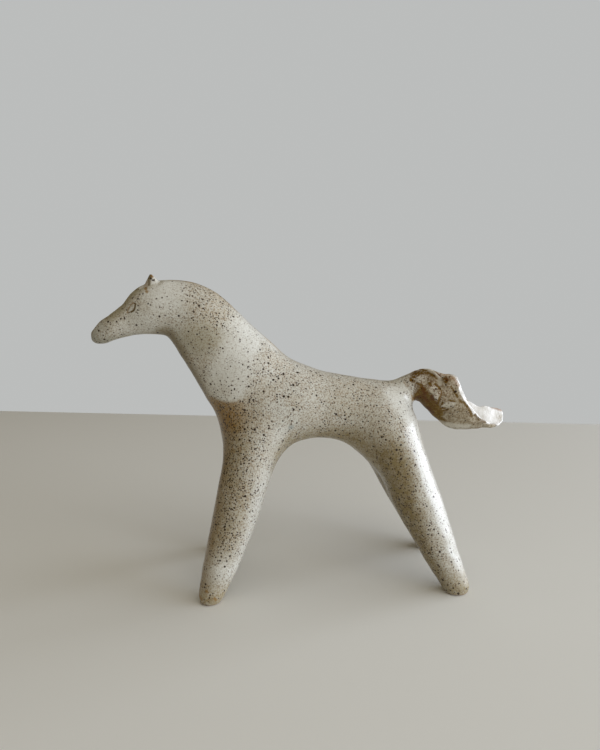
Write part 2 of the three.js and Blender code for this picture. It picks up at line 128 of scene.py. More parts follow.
def pull(piece, place, offset, reach):
    """Drags the surface at a place by an offset, and with it what lies within reach."""
    select_only(piece)
    bpy.ops.object.mode_set(mode="EDIT")
    bpy.ops.mesh.select_all(action="DESELECT")
    bpy.ops.object.mode_set(mode="OBJECT")
    place = Vector(place) * MM
    corners = piece.data.vertices
    min(corners, key=lambda corner: (corner.co - place).length).select = True
    bpy.ops.object.mode_set(mode="EDIT")
    bpy.ops.transform.translate(
        value=Vector(offset) * MM, use_proportional_edit=True,
        proportional_edit_falloff="SMOOTH", proportional_size=reach * MM)
    bpy.ops.object.mode_set(mode="OBJECT")


rolls = copy_nodes(*CLAY_ROLLS)
tail_stub = copy_nodes("tail")
cut_away(tail_stub, TAIL_STUB_END)
for place, offset, reach in BODY_PULLS:
    pull(rolls, place, offset, reach)
for side in SIDES:
    # The poll rises behind the ear, which is then set on it.
    pull(rolls, (-77, 4 * side, 166.5), (0.4, 0.3 * side, 1.4), 5)
    place = Vector(EAR_MIDDLE[side]) * MM
    bpy.ops.mesh.primitive_cone_add(
        vertices=32, radius1=EAR_FOOT_RADIUS, radius2=EAR_TIP_RADIUS, depth=EAR_HEIGHT,
        location=place)
    ear = bpy.context.object
    ear.scale.y = EAR_PINCH
    bpy.ops.object.transform_apply()
    for corner in ear.data.vertices:
        upwards = 1 if corner.co.z > place.z else -1
        corner.co += EAR_LEAN * Vector((1, side, 1)) * upwards
    rolls = join(ear, rolls)

# The tail slab
# A slab of clay pulled thin, folded into a trough and pressed over the root at the rump. Its
# lips are torn and wavy, its near wall is creased, and its end opens like the bowl of a spoon.

SLAB_THICKNESS = 2.2 * MM
SLAB_ROWS = 100
SLAB_COLUMNS = 56
ROOT_CENTRE = (61.5, 0, 110.3)
ROOT_SIZE = (8.2, 6.6, 6.8)
NEAR_LIP = [(57.5, -0.5, 115), (62, -1, 117.8), (66.5, -2, 119.4), (70.2, -3.5, 119.7),
            (72.8, -5.5, 118.5), (74.8, -7.5, 116.5), (75.9, -8, 115.6), (77.4, -8.5, 116.9),
            (80.2, -8.8, 117.3), (82.6, -9, 116.5), (84.4, -9.5, 113.6), (86, -10, 109.7),
            (87.4, -10.3, 105.8), (89.3, -10.3, 102.7), (91.8, -10, 98.9), (94.7, -9.5, 95),
            (98.4, -8.5, 91.7), (102.7, -6.5, 89.3), (106.1, -4, 87.2), (110.2, -0.5, 85.8),
            (114.5, 3.5, 85.7), (117.3, 6.5, 87)]
NEAR_FLANK = [(57, -6.4, 108.5), (62, -7, 109.5), (67.9, -8.6, 108.1), (73.4, -9.4, 104.7),
              (79.4, -9.3, 101.2), (84.7, -9.3, 97.7), (90.1, -8.8, 94), (95.3, -7.5, 91.1),
              (101, -5, 88.7), (105.3, -3, 87), (109.7, 0.5, 86), (114.3, 4.5, 86),
              (118.1, 7.5, 87.9)]
KEEL = [(59, 0, 105.5), (64.4, 0, 103), (68.1, 0, 99.8), (72.6, 0, 95.3), (77.2, 0, 90.9),
        (81.6, 0, 87.3), (85.8, 0, 85.9), (91.8, 0, 85.6), (97.9, 0, 85.9), (101.9, 0.5, 86.6),
        (106.1, 1.5, 86.9), (109.9, 3.5, 86.6), (114.7, 6.5, 87.2), (118.9, 9, 89)]
FAR_FLANK = [(57, 6.4, 108.5), (62, 7, 109.5), (67.2, 8.2, 108.7), (72.9, 9, 106.7),
             (79.2, 9.5, 102.9), (85.1, 9, 99.9), (90.7, 9, 96.3), (96, 8.5, 93.3),
             (101.3, 7.5, 90.7), (106.7, 7.5, 90.3), (110.8, 8.5, 89.7), (115, 10, 89.4),
             (119.4, 11, 90.6)]
FAR_LIP = [(57.5, 0.5, 115), (62, 1, 117.8), (66.5, 2, 119.2), (72.1, 3.5, 119),
           (76.3, 5.5, 117.5), (79, 6.5, 116.5), (82.3, 7.5, 115.7), (86.2, 8.5, 115.4),
           (89.5, 9.5, 114.2), (91.3, 10, 111.1), (92.9, 10.5, 106.8), (95, 11, 102.2),
           (97.9, 11, 98.9), (101, 11, 96.8), (104.6, 10.5, 95.3), (108.2, 10.5, 95.7),
           (112.1, 11, 94.7), (116, 11.5, 94.2), (118.8, 12, 92.7)]
CREASE = [(74.6, -8.6, 114.5), (73.2, -9, 112.6), (74, -9.2, 110.3), (75.3, -9.4, 107.8),
          (75, -9.6, 105.2), (73.8, -9.6, 102.8), (73, -9.6, 100.5)]
CREASE_DEPTH = 0.8
CREASE_REACH = 2.4
THUMB_MARKS = [((79.5, -9, 114), (0.3, -1.1, 0.2), 5), ((71.5, -9.4, 106), (0, -0.8, 0), 4),
               ((63.5, -7, 114.5), (0, -0.6, 0.3), 5), ((68.8, -8.6, 112.5), (0, -0.5, 0), 4),
               ((80, -9.6, 108), (0, 0.7, 0), 5), ((70, -8, 101.5), (0, 0.6, 0.3), 4),
               ((77.4, -9.4, 98.2), (0, 0.5, 0), 3), ((95, -7.9, 93.6), (0.3, 0.5, 0), 3)]
SLAB_MARKS = (4 * MM, 0.7 * MM)


def along(points, share):
    """The point at a share of a smooth line through the points."""
    points = [Vector(point) for point in points]
    reach = share * (len(points) - 1)
    first = min(int(reach), len(points) - 2)
    t = reach - first
    b, c = points[first], points[first + 1]
    a = points[first - 1] if first > 0 else b + (b - c)
    d = points[first + 2] if first + 2 < len(points) else c + (c - b)
    return 0.5 * (2 * b + (c - a) * t + (2 * a - 5 * b + 4 * c - d) * t ** 2
                  + (3 * b - a - 3 * c + d) * t ** 3)


def modify(piece, kind, **settings):
    """Adds a modifier and applies it."""
    select_only(piece)
    modifier = piece.modifiers.new(kind, kind)
    for key, value in settings.items():
        setattr(modifier, key, value)
    bpy.ops.object.modifier_apply(modifier=modifier.name)


def press_marks(piece, size, height, **where):
    """Leaves the unevenness of hands in a piece, in lumps of about this size and height."""
    marks = bpy.data.textures.new("hand marks", "CLOUDS")
    marks.noise_scale = size
    marks.noise_depth = 1
    modify(piece, "DISPLACE", texture=marks, texture_coords="LOCAL", mid_level=0.5,
           strength=height, **where)


bpy.ops.mesh.primitive_grid_add(x_subdivisions=SLAB_COLUMNS, y_subdivisions=SLAB_ROWS, size=1)
slab = bpy.context.object
for corner in slab.data.vertices:
    across = corner.co.x + 0.5
    down = corner.co.y + 0.5
    rib = [along(rail, down) for rail in (NEAR_LIP, NEAR_FLANK, KEEL, FAR_FLANK, FAR_LIP)]
    corner.co = along(rib, across) * MM
for place in CREASE:
    pull(slab, place, (0, CREASE_DEPTH, 0), CREASE_REACH)
for place, offset, reach in THUMB_MARKS:
    pull(slab, place, offset, reach)
press_marks(slab, *SLAB_MARKS)
modify(slab, "SOLIDIFY", thickness=SLAB_THICKNESS, offset=0)
bpy.ops.mesh.primitive_uv_sphere_add(
    segments=32, ring_count=24, radius=MM, location=Vector(ROOT_CENTRE) * MM)
tail_root = bpy.context.object
tail_root.scale = ROOT_SIZE
bpy.ops.object.transform_apply()

# The worked skin
# The joins are smeared over with wet fingers until none shows, so the whole horse is first made
# as one skin. Body and legs are worked smooth, and the ears and the tail keep their edges. The
# rolls swell by the closing of the gap until they meet, and the skin shrinks by it again.

LUTING_GAP = 0.3 * MM
GAP_CLOSING = 0.8 * LUTING_GAP
SKIN_CELL = 0.65 * MM
PALM_MARKS = (18 * MM, 0.8 * MM)
FINGER_MARKS = (7 * MM, 0.18 * MM)
HEAD_BACK = -70 * MM
EAR_FOOT = 165.5 * MM
EAR_FREE = 169.5 * MM
EAR_SMOOTHNESS = 0.16
TAIL_FROM = 60 * MM
TAIL_FREE = 68 * MM
TAIL_UNDERSIDE = 80 * MM
TAIL_SMOOTHNESS = 0.14


def smoothness(place):
    """How far the clay is worked smooth: 1 on the body, less on the ears and on the tail."""
    if place.z > EAR_FOOT and place.x < HEAD_BACK:
        return max(EAR_SMOOTHNESS, 1 - (place.z - EAR_FOOT) / (EAR_FREE - EAR_FOOT))
    if place.z > TAIL_UNDERSIDE and place.x > TAIL_FROM:
        return max(TAIL_SMOOTHNESS, 1 - (place.x - TAIL_FROM) / (TAIL_FREE - TAIL_FROM))
    return 1


clay = join(tail_stub, slab, tail_root, rolls)
modify(clay, "DISPLACE", mid_level=0, strength=GAP_CLOSING)
modify(clay, "REMESH", mode="VOXEL", voxel_size=SKIN_CELL)
worked = clay.vertex_groups.new(name="worked")
for corner in clay.data.vertices:
    worked.add([corner.index], smoothness(corner.co), "REPLACE")
modify(clay, "SMOOTH", factor=0.5, iterations=26, vertex_group="worked")
modify(clay, "DISPLACE", mid_level=0, strength=-GAP_CLOSING)
press_marks(clay, *PALM_MARKS, vertex_group="worked")
press_marks(clay, *FINGER_MARKS, vertex_group="worked")
cut_away(clay, ((0, 0, 0), (0, 0, -1)))

# The glaze
# An off-white satin glaze. It is grey-white where thick and olive-brown where thin, and iron
# grains in the stoneware melt through it as dark brown specks. Some of its pale marks are
# painted highlights and some of its dark ones painted shade. Colours are linear, sizes and
# places in the materials are in millimetres, and a mask is a value from 0 to 1.

GLAZE = (0.595, 0.576, 0.505)
COOL_GLAZE = (0.63, 0.63, 0.575)
# The pale glaze colour also serves for painted highlights, and the thin glaze colour for painted
# shade
PALE_GLAZE_AND_HIGHLIGHT = (0.72, 0.725, 0.68)
THIN_GLAZE_AND_SHADE = (0.265, 0.195, 0.066)
TAN_BREAK = (0.56, 0.475, 0.35)
RUST = (0.26, 0.136, 0.013)
OLIVE = (0.10, 0.068, 0.012)
STIPPLE = (0.24, 0.155, 0.07)
OLIVE_CLOUD = (0.33, 0.30, 0.20)
BLUE_GREY = (0.20, 0.24, 0.24)
IRON = (0.022, 0.010, 0.004)
IRON_BLED = (0.13, 0.065, 0.02)
BARE_CLAY = (0.42, 0.33, 0.24)
SATIN_ROUGHNESS = 0.34
SATIN = {"Specular IOR Level": 0.2, "Coat Weight": 0.6, "Coat Roughness": 0.2}
GLAZE_RELIEF = 0.1 * MM
SOLID_RADII = 0.8
BLED_RADII = 1.6
MIX_SOCKETS = {"VECTOR": (4, 1), "RGBA": (6, 2)}  # the first input and the output of each kind
EYE = [(-96.3, 152.6), (-95.2, 154.9), (-94, 156.6), (-92.5, 157.8), (-91.3, 157.3),
       (-91.5, 155.6), (-92.3, 153.8), (-93.7, 153)]


class Value:
    """One output in a material's nodes. Arithmetic on it adds Math nodes."""

    def __init__(self, finish, socket):
        self.finish = finish
        self.socket = socket

    def maths(self, operation, *values):
        return self.finish.add("Math", {"operation": operation}, *values)

    def __add__(self, other):
        return self.maths("ADD", self, other)

    def __sub__(self, other):
        return self.maths("SUBTRACT", self, other)

    def __mul__(self, other):
        return self.maths("MULTIPLY", self, other)

    def __rsub__(self, other):
        return self.maths("SUBTRACT", other, self)

    def __lt__(self, other):
        return self.maths("LESS_THAN", self, other)

    __radd__ = __add__
    __rmul__ = __mul__

    def ramp(self, start, end):
        """0 before start, 1 after end and smooth between; start may be the larger."""
        return self.finish.add("MapRange", {"interpolation_type": "SMOOTHSTEP"},
                               self, start, end, 0.0, 1.0)

    def over(self, other):
        """The larger of two masks."""
        return self.maths("MAXIMUM", self, other)


class Finish:
    """The nodes of a material, or of the room around the horse."""

    def __init__(self, owner):
        owner.use_nodes = True
        self.owner = owner
        self.nodes = owner.node_tree.nodes
        self.links = owner.node_tree.links
        self.nodes.clear()

    def find_place(self):
        """Sets the place on the horse in millimetres, and the same flattened to a side view."""
        self.place = self.vector("SCALE", self.add("TexCoord", {}, output="Object"),
                                 Scale=1 / MM)
        self.side_view = self.vector("MULTIPLY", self.place, (1, 0, 1))
        self.height = self.add("SeparateXYZ", {}, self.place, output="Z")

    def add(self, kind, settings, *values, output=0, **named):
        """Adds a node: its settings first, then its sockets in order or by name."""
        node = self.nodes.new("ShaderNode" + kind)
        for key, value in settings.items():
            setattr(node, key, value)
        for key, value in list(enumerate(values)) + list(named.items()):
            if isinstance(value, Value):
                self.links.new(value.socket, node.inputs[key])
            elif value is not None:
                node.inputs[key].default_value = value
        return Value(self, node.outputs[output]) if node.outputs else None

    def vector(self, operation, *values, output=0, **named):
        return self.add("VectorMath", {"operation": operation}, *values, output=output, **named)

    def blend(self, kind, share, first, second):
        """What lies at a share of the way from the first to the second value of a kind."""
        socket, output = MIX_SOCKETS[kind]
        unused = [None] * (socket - 1)
        return self.add("Mix", {"data_type": kind}, share, *unused, first, second, output=output)

    def mix(self, share, first, second):
        """Mixes two colours, each a value or three numbers."""
        colours = [c if isinstance(c, Value) else (*c, 1) for c in (first, second)]
        return self.blend("RGBA", share, *colours)

    def clouds(self, size, detail=2.0, seed=0.0):
        """Soft noise from 0 to 1, with lumps of about this size in millimetres."""
        where = self.vector("ADD", self.place, (seed, seed, seed))
        return self.add("TexNoise", {}, where, Scale=1 / size, Detail=detail, Roughness=0.55)

    def patch(self, centre, reach, softness, ragged):
        """1 inside an ellipsoid and 0 outside, with a soft and ragged edge."""
        away = self.vector("SUBTRACT", self.place, centre)
        distance = self.vector("LENGTH", self.vector("DIVIDE", away, reach), output="Value")
        return (distance + ragged).ramp(1 + softness, 1 - softness)

    def streak(self, lines, width, softness, ragged):
        """1 along each line through its points and 0 farther from them than the width.

        Points of two numbers are drawn on the side view and go through to both sides.
        """
        nearest = None
        for points in lines:
            flat = len(points[0]) == 2
            place = self.side_view if flat else self.place
            points = [Vector((p[0], 0, p[1]) if flat else p) for p in points]
            for start, end in zip(points, points[1:]):
                span = end - start
                slope = span / span.length_squared
                share = self.vector("DOT_PRODUCT", place, tuple(slope), output="Value")
                foot = self.blend("VECTOR", share - slope.dot(start), tuple(start), tuple(end))
                distance = self.vector("DISTANCE", place, foot, output="Value")
                nearest = distance if nearest is None else nearest.maths(
                    "MINIMUM", nearest, distance)
        return (nearest + ragged).ramp(width * (1 + softness), width * (1 - softness))

    def specks(self, spacing, smallest, largest, share):
        """Round grains scattered through the clay: a share of them show, each its own size.

        The value is 1 up to SOLID_RADII from the middle of a grain and 0 from BLED_RADII on.
        """
        cell = self.add("TexVoronoi", {}, self.place, Scale=1 / spacing).socket.node
        chance = self.add("SeparateXYZ", {}, Value(self, cell.outputs["Color"])).socket.node
        distance = Value(self, cell.outputs["Distance"]) * spacing
        size = Value(self, chance.outputs[0])
        radius = size * size * (largest - smallest) + smallest
        nearness = distance.ramp(radius * BLED_RADII, radius * SOLID_RADII)
        return nearness * (Value(self, chance.outputs[1]) < share)

    def finish(self, colour, roughness, height, depth, gloss):
        """Wires the shader: height is in units of depth, which is in metres."""
        bump = self.add("Bump", {}, Strength=1.0, Distance=depth, Height=height)
        return self.shade(
            **{"Base Color": colour, "Roughness": roughness, "Normal": bump}, **gloss)

    def shade(self, **inputs):
        """Wires a shader with these inputs to the output of the material."""
        self.add("OutputMaterial", {}, self.add("BsdfPrincipled", {}, **inputs))
        return self.owner


def both_sides(*points):
    """The same line on the left and on the right of the horse."""
    return [[(x, y * side, z) for x, y, z in points] for side in SIDES]


def coat(f, pale, thin_and_shaded):
    """The glaze: pale marks thick white glaze and painted highlights, thin_and_shaded marks
    where the clay shows through and painted shade.
    """
    warm = f.clouds(9, 3, seed=9).ramp(0.36, 0.64)
    colour = f.mix(warm, COOL_GLAZE, GLAZE)
    colour = f.mix(pale * 0.95, colour, PALE_GLAZE_AND_HIGHLIGHT)
    stipple = f.clouds(0.8, 3, seed=70).ramp(0.44, 0.64) * (0.6 + thin_and_shaded * 0.2 - pale * 0.38)
    colour = f.mix(stipple, colour, STIPPLE)
    pool = 0.68 + f.clouds(2.4, 3, seed=33).ramp(0.38, 0.62) * 0.32
    return f.mix(thin_and_shaded * pool, colour, THIN_GLAZE_AND_SHADE)


def grains(f, colour, crowd):
    """Sprinkles the iron grains over a colour: crowd says how closely they lie.

    Each has bled a little brown into the glaze round it.
    """
    crowd = crowd + (f.clouds(13, 2, seed=21) - 0.5) * 0.9
    dust = f.specks(1.0, 0.17, 0.34, crowd * 1.15)
    near = (f.specks(2.6, 0.3, 0.62, crowd * 0.8)
            .over(f.specks(1.5, 0.25, 0.43, crowd * 0.85))
            .over(f.specks(1.2, 0.26, 0.42, (crowd - 0.75) * 1.5)))
    grain = near.ramp(0.55, 0.9)
    bled = (near.ramp(0, 0.6) * 0.35).over(dust * 0.6)
    return f.mix(grain * 0.97, f.mix(bled, colour, IRON_BLED), IRON), grain


def speckled_glaze():
    f = Finish(bpy.data.materials.new("speckled_glaze"))
    f.find_place()
    ragged = (f.clouds(6, 3) - 0.5) * 0.9
    drift = (f.clouds(22, 2, seed=40) - 0.5) * 0.8
    edge = ragged * 0.3 + drift * 0.3
    wander = ragged * 6

    # Where the glaze lies thick: the lap over the shoulder, the neck, back, cheek and forefeet.
    # The pale on the poll is partly, and the streak along the nape wholly, a painted highlight.
    lap = f.patch((-42.5, 0, 121), (15.5, 40, 17.5), 0.06, edge * 0.3)
    under_lap = f.patch((-47, 0, 97), (14.5, 40, 13), 0.5, edge)
    lap = lap * f.height.ramp(117, 106)
    pour = f.streak([[(-43, 115.5), (-39, 127), (-34, 141)]], 10.8, 0.3, edge * 9)
    pale = (pour * 0.85).over(lap * 0.4)
    # Pale glaze on the poll, with a painted highlight behind the ear
    poll_pale_and_highlight = f.patch((-75, 0, 161), (12, 24, 12), 0.5, edge)
    pale = pale.over(poll_pale_and_highlight)
    # A painted highlight along the top of the neck
    nape_highlight = f.streak([[(-36, 0, 150), (-20, 0, 134.5)]], 7.5, 0.4, ragged * 2)
    pale = pale.over(nape_highlight)
    back = f.streak([[(2, 0, 128), (25, 0, 125), (52, 0, 121)]], 9, 0.6, ragged * 2)
    pale = pale.over(back * 0.75)
    forefeet = f.patch((-45, 0, 18), (12, 60, 15), 0.6, edge)
    pale = pale.over(forefeet * 0.7)
    cheek = f.patch((-86, 0, 149), (15, 20, 8), 0.6, edge)
    pale = pale.over(cheek * 0.6)

    # Where it ran thin, with painted shade between the legs, under the belly, down the throat
    # and shins and near the table; and the pale lines down the backs of the legs, painted
    # highlights that on the hind legs lie over pale glaze
    # Thin glaze down the throat, darkened further as painted shade
    throat = f.streak([[(-72, 0, 139), (-66, 0, 125), (-57, 0, 107), (-53, 0, 96)]],
                      11, 0.35, wander * 0.5)
    cloud = f.patch((-56, 0, 139), (13, 30, 9.5), 0.55, edge)
    band = f.patch((-50, 0, 157), (14, 30, 16), 0.6, edge)
    # Thin glaze under the belly, darkened further as painted shade
    arch = f.patch((18, 0, 73), (41, 34, 19), 0.4, edge)
    brow = f.streak([[(-105, 0, 154), (-97, 0, 161.5), (-87, 0, 168.5)]], 7, 0.5, ragged)
    nose = f.patch((-117, 0, 141), (10, 20, 10), 0.6, edge)
    chest = f.patch((-45, 0, 86), (19, 36, 24), 0.4, edge)
    lobe = f.patch((-32, 0, 98), (10, 36, 13), 0.5, edge)
    # Painted shade between the legs
    between_legs_shade = (f.patch((48, 0, 52), (26, 20, 34), 0.4, edge)
               .over(f.patch((-46, 0, 40), (22, 17, 30), 0.4, edge)))
    fore = f.streak(both_sides((-41, 14, 82), (-39, 22, 56), (-46, 28, 32)), 9, 0.8, wander)
    # Painted shade along the front edges of the chest and forelegs, in olive and rust
    shin_shade = f.streak(both_sides((-50, 8, 103), (-46, 12, 88), (-44, 18, 62), (-52, 28, 27),
                               (-55, 31, 12)), 6, 0.6, wander * 0.5)
    hind = f.streak(both_sides((41, 22, 87), (46, 25, 69), (49, 26, 53), (58, 30, 20),
                               (66, 32, 6)), 9.2, 0.5, wander) * f.height.ramp(94, 76)
    # A pale line of glaze down the back of each hind leg and over the hip, brightened as a
    # painted highlight
    heel_white_and_highlight = f.streak(both_sides((52, 12, 108), (64, 22, 90), (71, 27, 60), (88, 33, 14)),
                          9.5, 0.35, wander * 0.6)
    # A painted highlight down the back of each foreleg, brighter higher up
    calf_highlight = f.streak(both_sides((-13, 24, 88), (-20, 25, 66), (-27, 28, 46),
                                     (-35, 33, 22)), 5.5, 0.6, wander * 0.4)
    flank = f.patch((22, 0, 101), (16, 40, 12), 0.6, edge)
    pale = pale.over(heel_white_and_highlight * 0.9).over(calf_highlight * (f.height * 0.006 + 0.4))
    below = 1 - lap
    # The term on the height paints shade near the table
    thin_and_shaded = ((throat * 0.9).over(band * 0.2).over(arch * 0.9)
            .over(chest * below * 0.66).over(lobe * below * 0.25)
            .over(between_legs_shade).over(fore * 0.66).over(hind * 0.9)
            .over(flank * 0.18).over(nose * 0.25).over(brow * 0.65)
            .over(f.height.ramp(20, 3) * 0.7))
    thin_and_shaded = thin_and_shaded * (1 - calf_highlight * 0.75)
    colour = coat(f, pale, thin_and_shaded)

    # The olive, tan and rust that thin glaze shows, with painted shade under the jaw, between
    # the legs and along the shins
    # Painted shade under the jaw
    jaw_shade = f.streak([[(-113, 0, 136), (-96, 0, 138), (-78, 0, 140.5)]], 5, 0.5, ragged)
    shade = (cloud * 0.6).over(brow).over(jaw_shade * 0.5)
    colour = f.mix(shade, colour, OLIVE_CLOUD)
    olive = ((throat * 0.62).over(between_legs_shade * 0.45).over(shin_shade * 0.36)
             .over(fore * 0.14).over(hind * 0.32))
    colour = f.mix(olive, colour, OLIVE)
    crest = f.streak([[(-62, 0, 169), (-52.6, 0, 165), (-44.5, 0, 160), (-40, 0, 156)],
                      [(-19, 0, 136.5), (-5, 0, 130)]], 4.5, 0.5, ragged)
    colour = f.mix(crest * 0.5, colour, TAN_BREAK)
    mane = f.streak([[(-74.5, 0, 170), (-70, 0, 170), (-61, 0, 168.5)]], 2.6, 0.4, ragged)
    mottled = f.clouds(1.7, 3, seed=3).ramp(0.38, 0.6)
    shoulder = under_lap * below * f.height.ramp(112, 105)
    rust = (shoulder * (0.56 + mottled * 0.36)).over(mane * 0.6).over(shin_shade * 0.36)
    rust = rust.over(chest * below * mottled * f.height.ramp(78, 104) * 0.5)
    rust = rust.over(chest * f.clouds(3, 3, seed=52).ramp(0.52, 0.68) * 0.4)

    # Single marks, the scratched eyes and the brown at the root of the tail
    spots = f.streak([[(-58.8, 5), (-57.4, 3.6)], [(-50.4, 4.6), (-49.8, 3.8)],
                      [(-54.6, 8.5), (-54.2, 8.3)], [(-86, 165.4), (-85.8, 165.1)],
                      [(-85.2, 163.8), (-85, 163.6)]], 0.8, 0.7, ragged * 0.5)
    eyes = f.streak([[*EYE, EYE[0]]], 0.34, 0.5, ragged * 0.15)
    tail_seam = f.streak(both_sides((56, 6, 114), (59.5, 8, 109.5), (61, 6, 103.5)), 1.5, 0.5,
                         ragged)
    rust = rust.over(spots * 0.8).over(eyes * 0.6).over(tail_seam * 0.85)
    colour = f.mix(rust, colour, RUST)
    lash = f.streak([EYE[4:]], 0.5, 0.5, ragged * 0.15)
    colour = f.mix(lash * 0.85, colour, OLIVE)
    blue = f.patch((-9.2, 0, 91.5), (1.6, 40, 1.3), 0.6, edge)
    colour = f.mix((blue * 0.6).over(nose * 0.3), colour, BLUE_GREY)

    # The iron grains, and the bare clay of the soles
    face = f.patch((-96, 0, 150), (25, 24, 24), 0.3, edge)
    crowd = (0.74 + chest.over(fore) * 0.6 + lobe * 0.25 + band * 0.25 + hind * 0.3 - pale * 0.42
             - face * 0.1)
    colour, iron = grains(f, colour, crowd)
    sole = f.height.ramp(1.4, 0.5)
    colour = f.mix(sole, colour, BARE_CLAY)
    roughness = SATIN_ROUGHNESS + thin_and_shaded * 0.08 + iron * 0.1 + sole * 0.35 - pale * 0.04
    height = f.clouds(1.6, 2, seed=5) * 0.5 + f.clouds(6, 2, seed=11) * 0.8 - iron * 0.35
    return f.finish(colour, roughness, height, GLAZE_RELIEF, SATIN)


glaze = speckled_glaze()

# The pieces of the body
# Each roll is cut out of the worked skin again at its own luting seam. The seams close without
# a mark, as the glaze runs over them.

WITHERS = ((-37.5, 0, 120.5), (-0.6285, 0, 0.7778))
POLL = ((-67.4, 0, 153.1), (-0.9389, 0, 0.3441))
LEFT_SHOULDER = ((-34.45, -14.37, 61.99), (-0.2412, -0.2816, -0.9287))
RIGHT_SHOULDER = ((-34.45, 14.37, 61.99), (-0.2412, 0.2816, -0.9287))
LEFT_HIP = ((55.46, -15.23, 62), (0.3796, -0.2154, -0.8998))
RIGHT_HIP = ((55.46, 15.23, 62), (0.3796, 0.2154, -0.8998))
TAIL_JOINT = ((57.98, 0, 108.44), (0.8718, 0, 0.4899))
BELLY_MIDDLE = ((-1.9, 0, 70), (1, 0, 0))
CENTRE = ((0, 0, 0), (0, 1, 0))
EAR_SEAT = ((-81.4, 0, 167.7), (-0.33, 0, 0.944))
UNDER_TAIL = ((0, 0, 80), (0, 0, -1))
SEAM_ANGLE = math.radians(50)


def beyond(plane):
    """The cut that keeps what lies on the outward side of a plane."""
    point, outward = plane
    return Vector(point) * MM, -Vector(outward)


def before(plane):
    """The cut that keeps what lies on the inward side of a plane."""
    point, outward = plane
    return Vector(point) * MM, Vector(outward)


def carve(name, *cuts):
    """Cuts one piece out of a copy of the worked skin."""
    select_only(clay)
    bpy.ops.object.duplicate()
    piece = bpy.context.object
    piece.name = "glazed_" + name
    cut_away(piece, *cuts)
    bpy.ops.object.shade_smooth_by_angle(angle=SEAM_ANGLE)
    return piece


def dress(piece, name, material):
    """Glazes a piece, hangs it on the root body and hides the CAD node that it stands for."""
    piece.data.materials.clear()
    piece.data.materials.append(material)
    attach(piece, "root")
    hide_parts(name)


BODY_CUTS = {
    "barrel": [before(LEFT_SHOULDER), before(RIGHT_SHOULDER), before(LEFT_HIP),
               before(RIGHT_HIP), before(WITHERS), before(TAIL_JOINT)],
    "neck": [beyond(WITHERS), before(POLL)],
    "left_foreleg": [beyond(LEFT_SHOULDER), before(BELLY_MIDDLE), before(CENTRE)],
    "right_foreleg": [beyond(RIGHT_SHOULDER), before(BELLY_MIDDLE), beyond(CENTRE)],
    "left_hind_leg": [beyond(LEFT_HIP), beyond(BELLY_MIDDLE), before(CENTRE)],
    "right_hind_leg": [beyond(RIGHT_HIP), beyond(BELLY_MIDDLE), beyond(CENTRE)],
}
for name, cuts in BODY_CUTS.items():
    dress(carve(name, *cuts), name, glaze)

# The head and the ears
# The head is a wedge without mouth or nostrils. Each eye is an almond scratched in with a
# point, and each ear a pinched cone whose thin tip and front ridge have broken to brown.

SCRATCH_WIDTH = 0.42
SCRATCH_DEPTH = 0.35
EYE_BLOCKS = [((-98, -14, 150), (-89.5, 0, 160)), ((-98, 0, 150), (-89.5, 14, 160))]
EAR_BLOCKS = {"left_ear": ((-90, -9, 164), (-73, 0, 180)),
              "right_ear": ((-90, 0, 164), (-73, 9, 180))}
EAR_GLOW = (0.24, 0.125, 0.035)


def inside(block, place):
    """Whether a place lies in a block, which is given by two corners in millimetres."""
    low, high = block
    return all(a * MM < c < b * MM for a, c, b in zip(low, place, high))


def choose_faces(piece, wanted):
    """Selects the faces whose middles are wanted and leaves the piece in edit mode."""
    select_only(piece)
    bpy.ops.object.mode_set(mode="EDIT")
    bpy.ops.mesh.select_all(action="DESELECT")
    bpy.ops.mesh.select_mode(type="FACE")
    bpy.ops.object.mode_set(mode="OBJECT")
    for face in piece.data.polygons:
        face.select = wanted(face.center)
    bpy.ops.object.mode_set(mode="EDIT")


def close_cut(piece):
    """Fills the open edge that a separation left."""
    select_only(piece)
    bpy.ops.object.mode_set(mode="EDIT")
    bpy.ops.mesh.select_mode(type="EDGE")
    bpy.ops.mesh.select_all(action="DESELECT")
    bpy.ops.mesh.select_non_manifold(extend=False)
    bpy.ops.mesh.fill_holes(sides=0)
    bpy.ops.mesh.select_mode(type="VERT")
    bpy.ops.object.mode_set(mode="OBJECT")
    bpy.ops.object.shade_smooth_by_angle(angle=SEAM_ANGLE)


def nip_off(piece, block, plane):
    """Parts what a block holds beyond a plane from a piece and returns it."""
    point, outward = Vector(plane[0]) * MM, Vector(plane[1])
    choose_faces(piece, lambda middle: inside(block, middle))
    bpy.ops.mesh.bisect(plane_co=point, plane_no=outward)
    bpy.ops.object.mode_set(mode="OBJECT")
    choose_faces(piece, lambda middle: inside(block, middle)
                 and (middle - point).dot(outward) > 0)
    bpy.ops.mesh.separate(type="SELECTED")
    bpy.ops.object.mode_set(mode="OBJECT")
    bpy.ops.object.select_all(action="DESELECT")
    part = [other for other in bpy.data.objects if other.name.startswith(piece.name + ".")][0]
    for each in (part, piece):
        close_cut(each)
    return part


def distance_to(start, end, place):
    """How far a place is from the straight line between two points."""
    span = end - start
    share = max(0, min(1, (place - start).dot(span) / span.length_squared))
    return (place - start - span * share).length


def scratch_eye(block):
    """Scratches the almond into one side of the head, on a patch that is made finer first."""
    choose_faces(head, lambda middle: inside(block, middle))
    bpy.ops.mesh.subdivide(number_cuts=2)
    bpy.ops.mesh.select_mode(type="VERT")
    bpy.ops.object.mode_set(mode="OBJECT")
    outline = [Vector(point) for point in EYE]
    edges = list(zip(outline, outline[1:] + outline[:1]))
    for corner in head.data.vertices:
        if not inside(block, corner.co):
            continue
        place = Vector((corner.co.x, corner.co.z)) / MM
        distance = min(distance_to(start, end, place) for start, end in edges)
        depth = SCRATCH_DEPTH * math.exp(-(distance / SCRATCH_WIDTH) ** 2)
        corner.co -= corner.normal * depth * MM


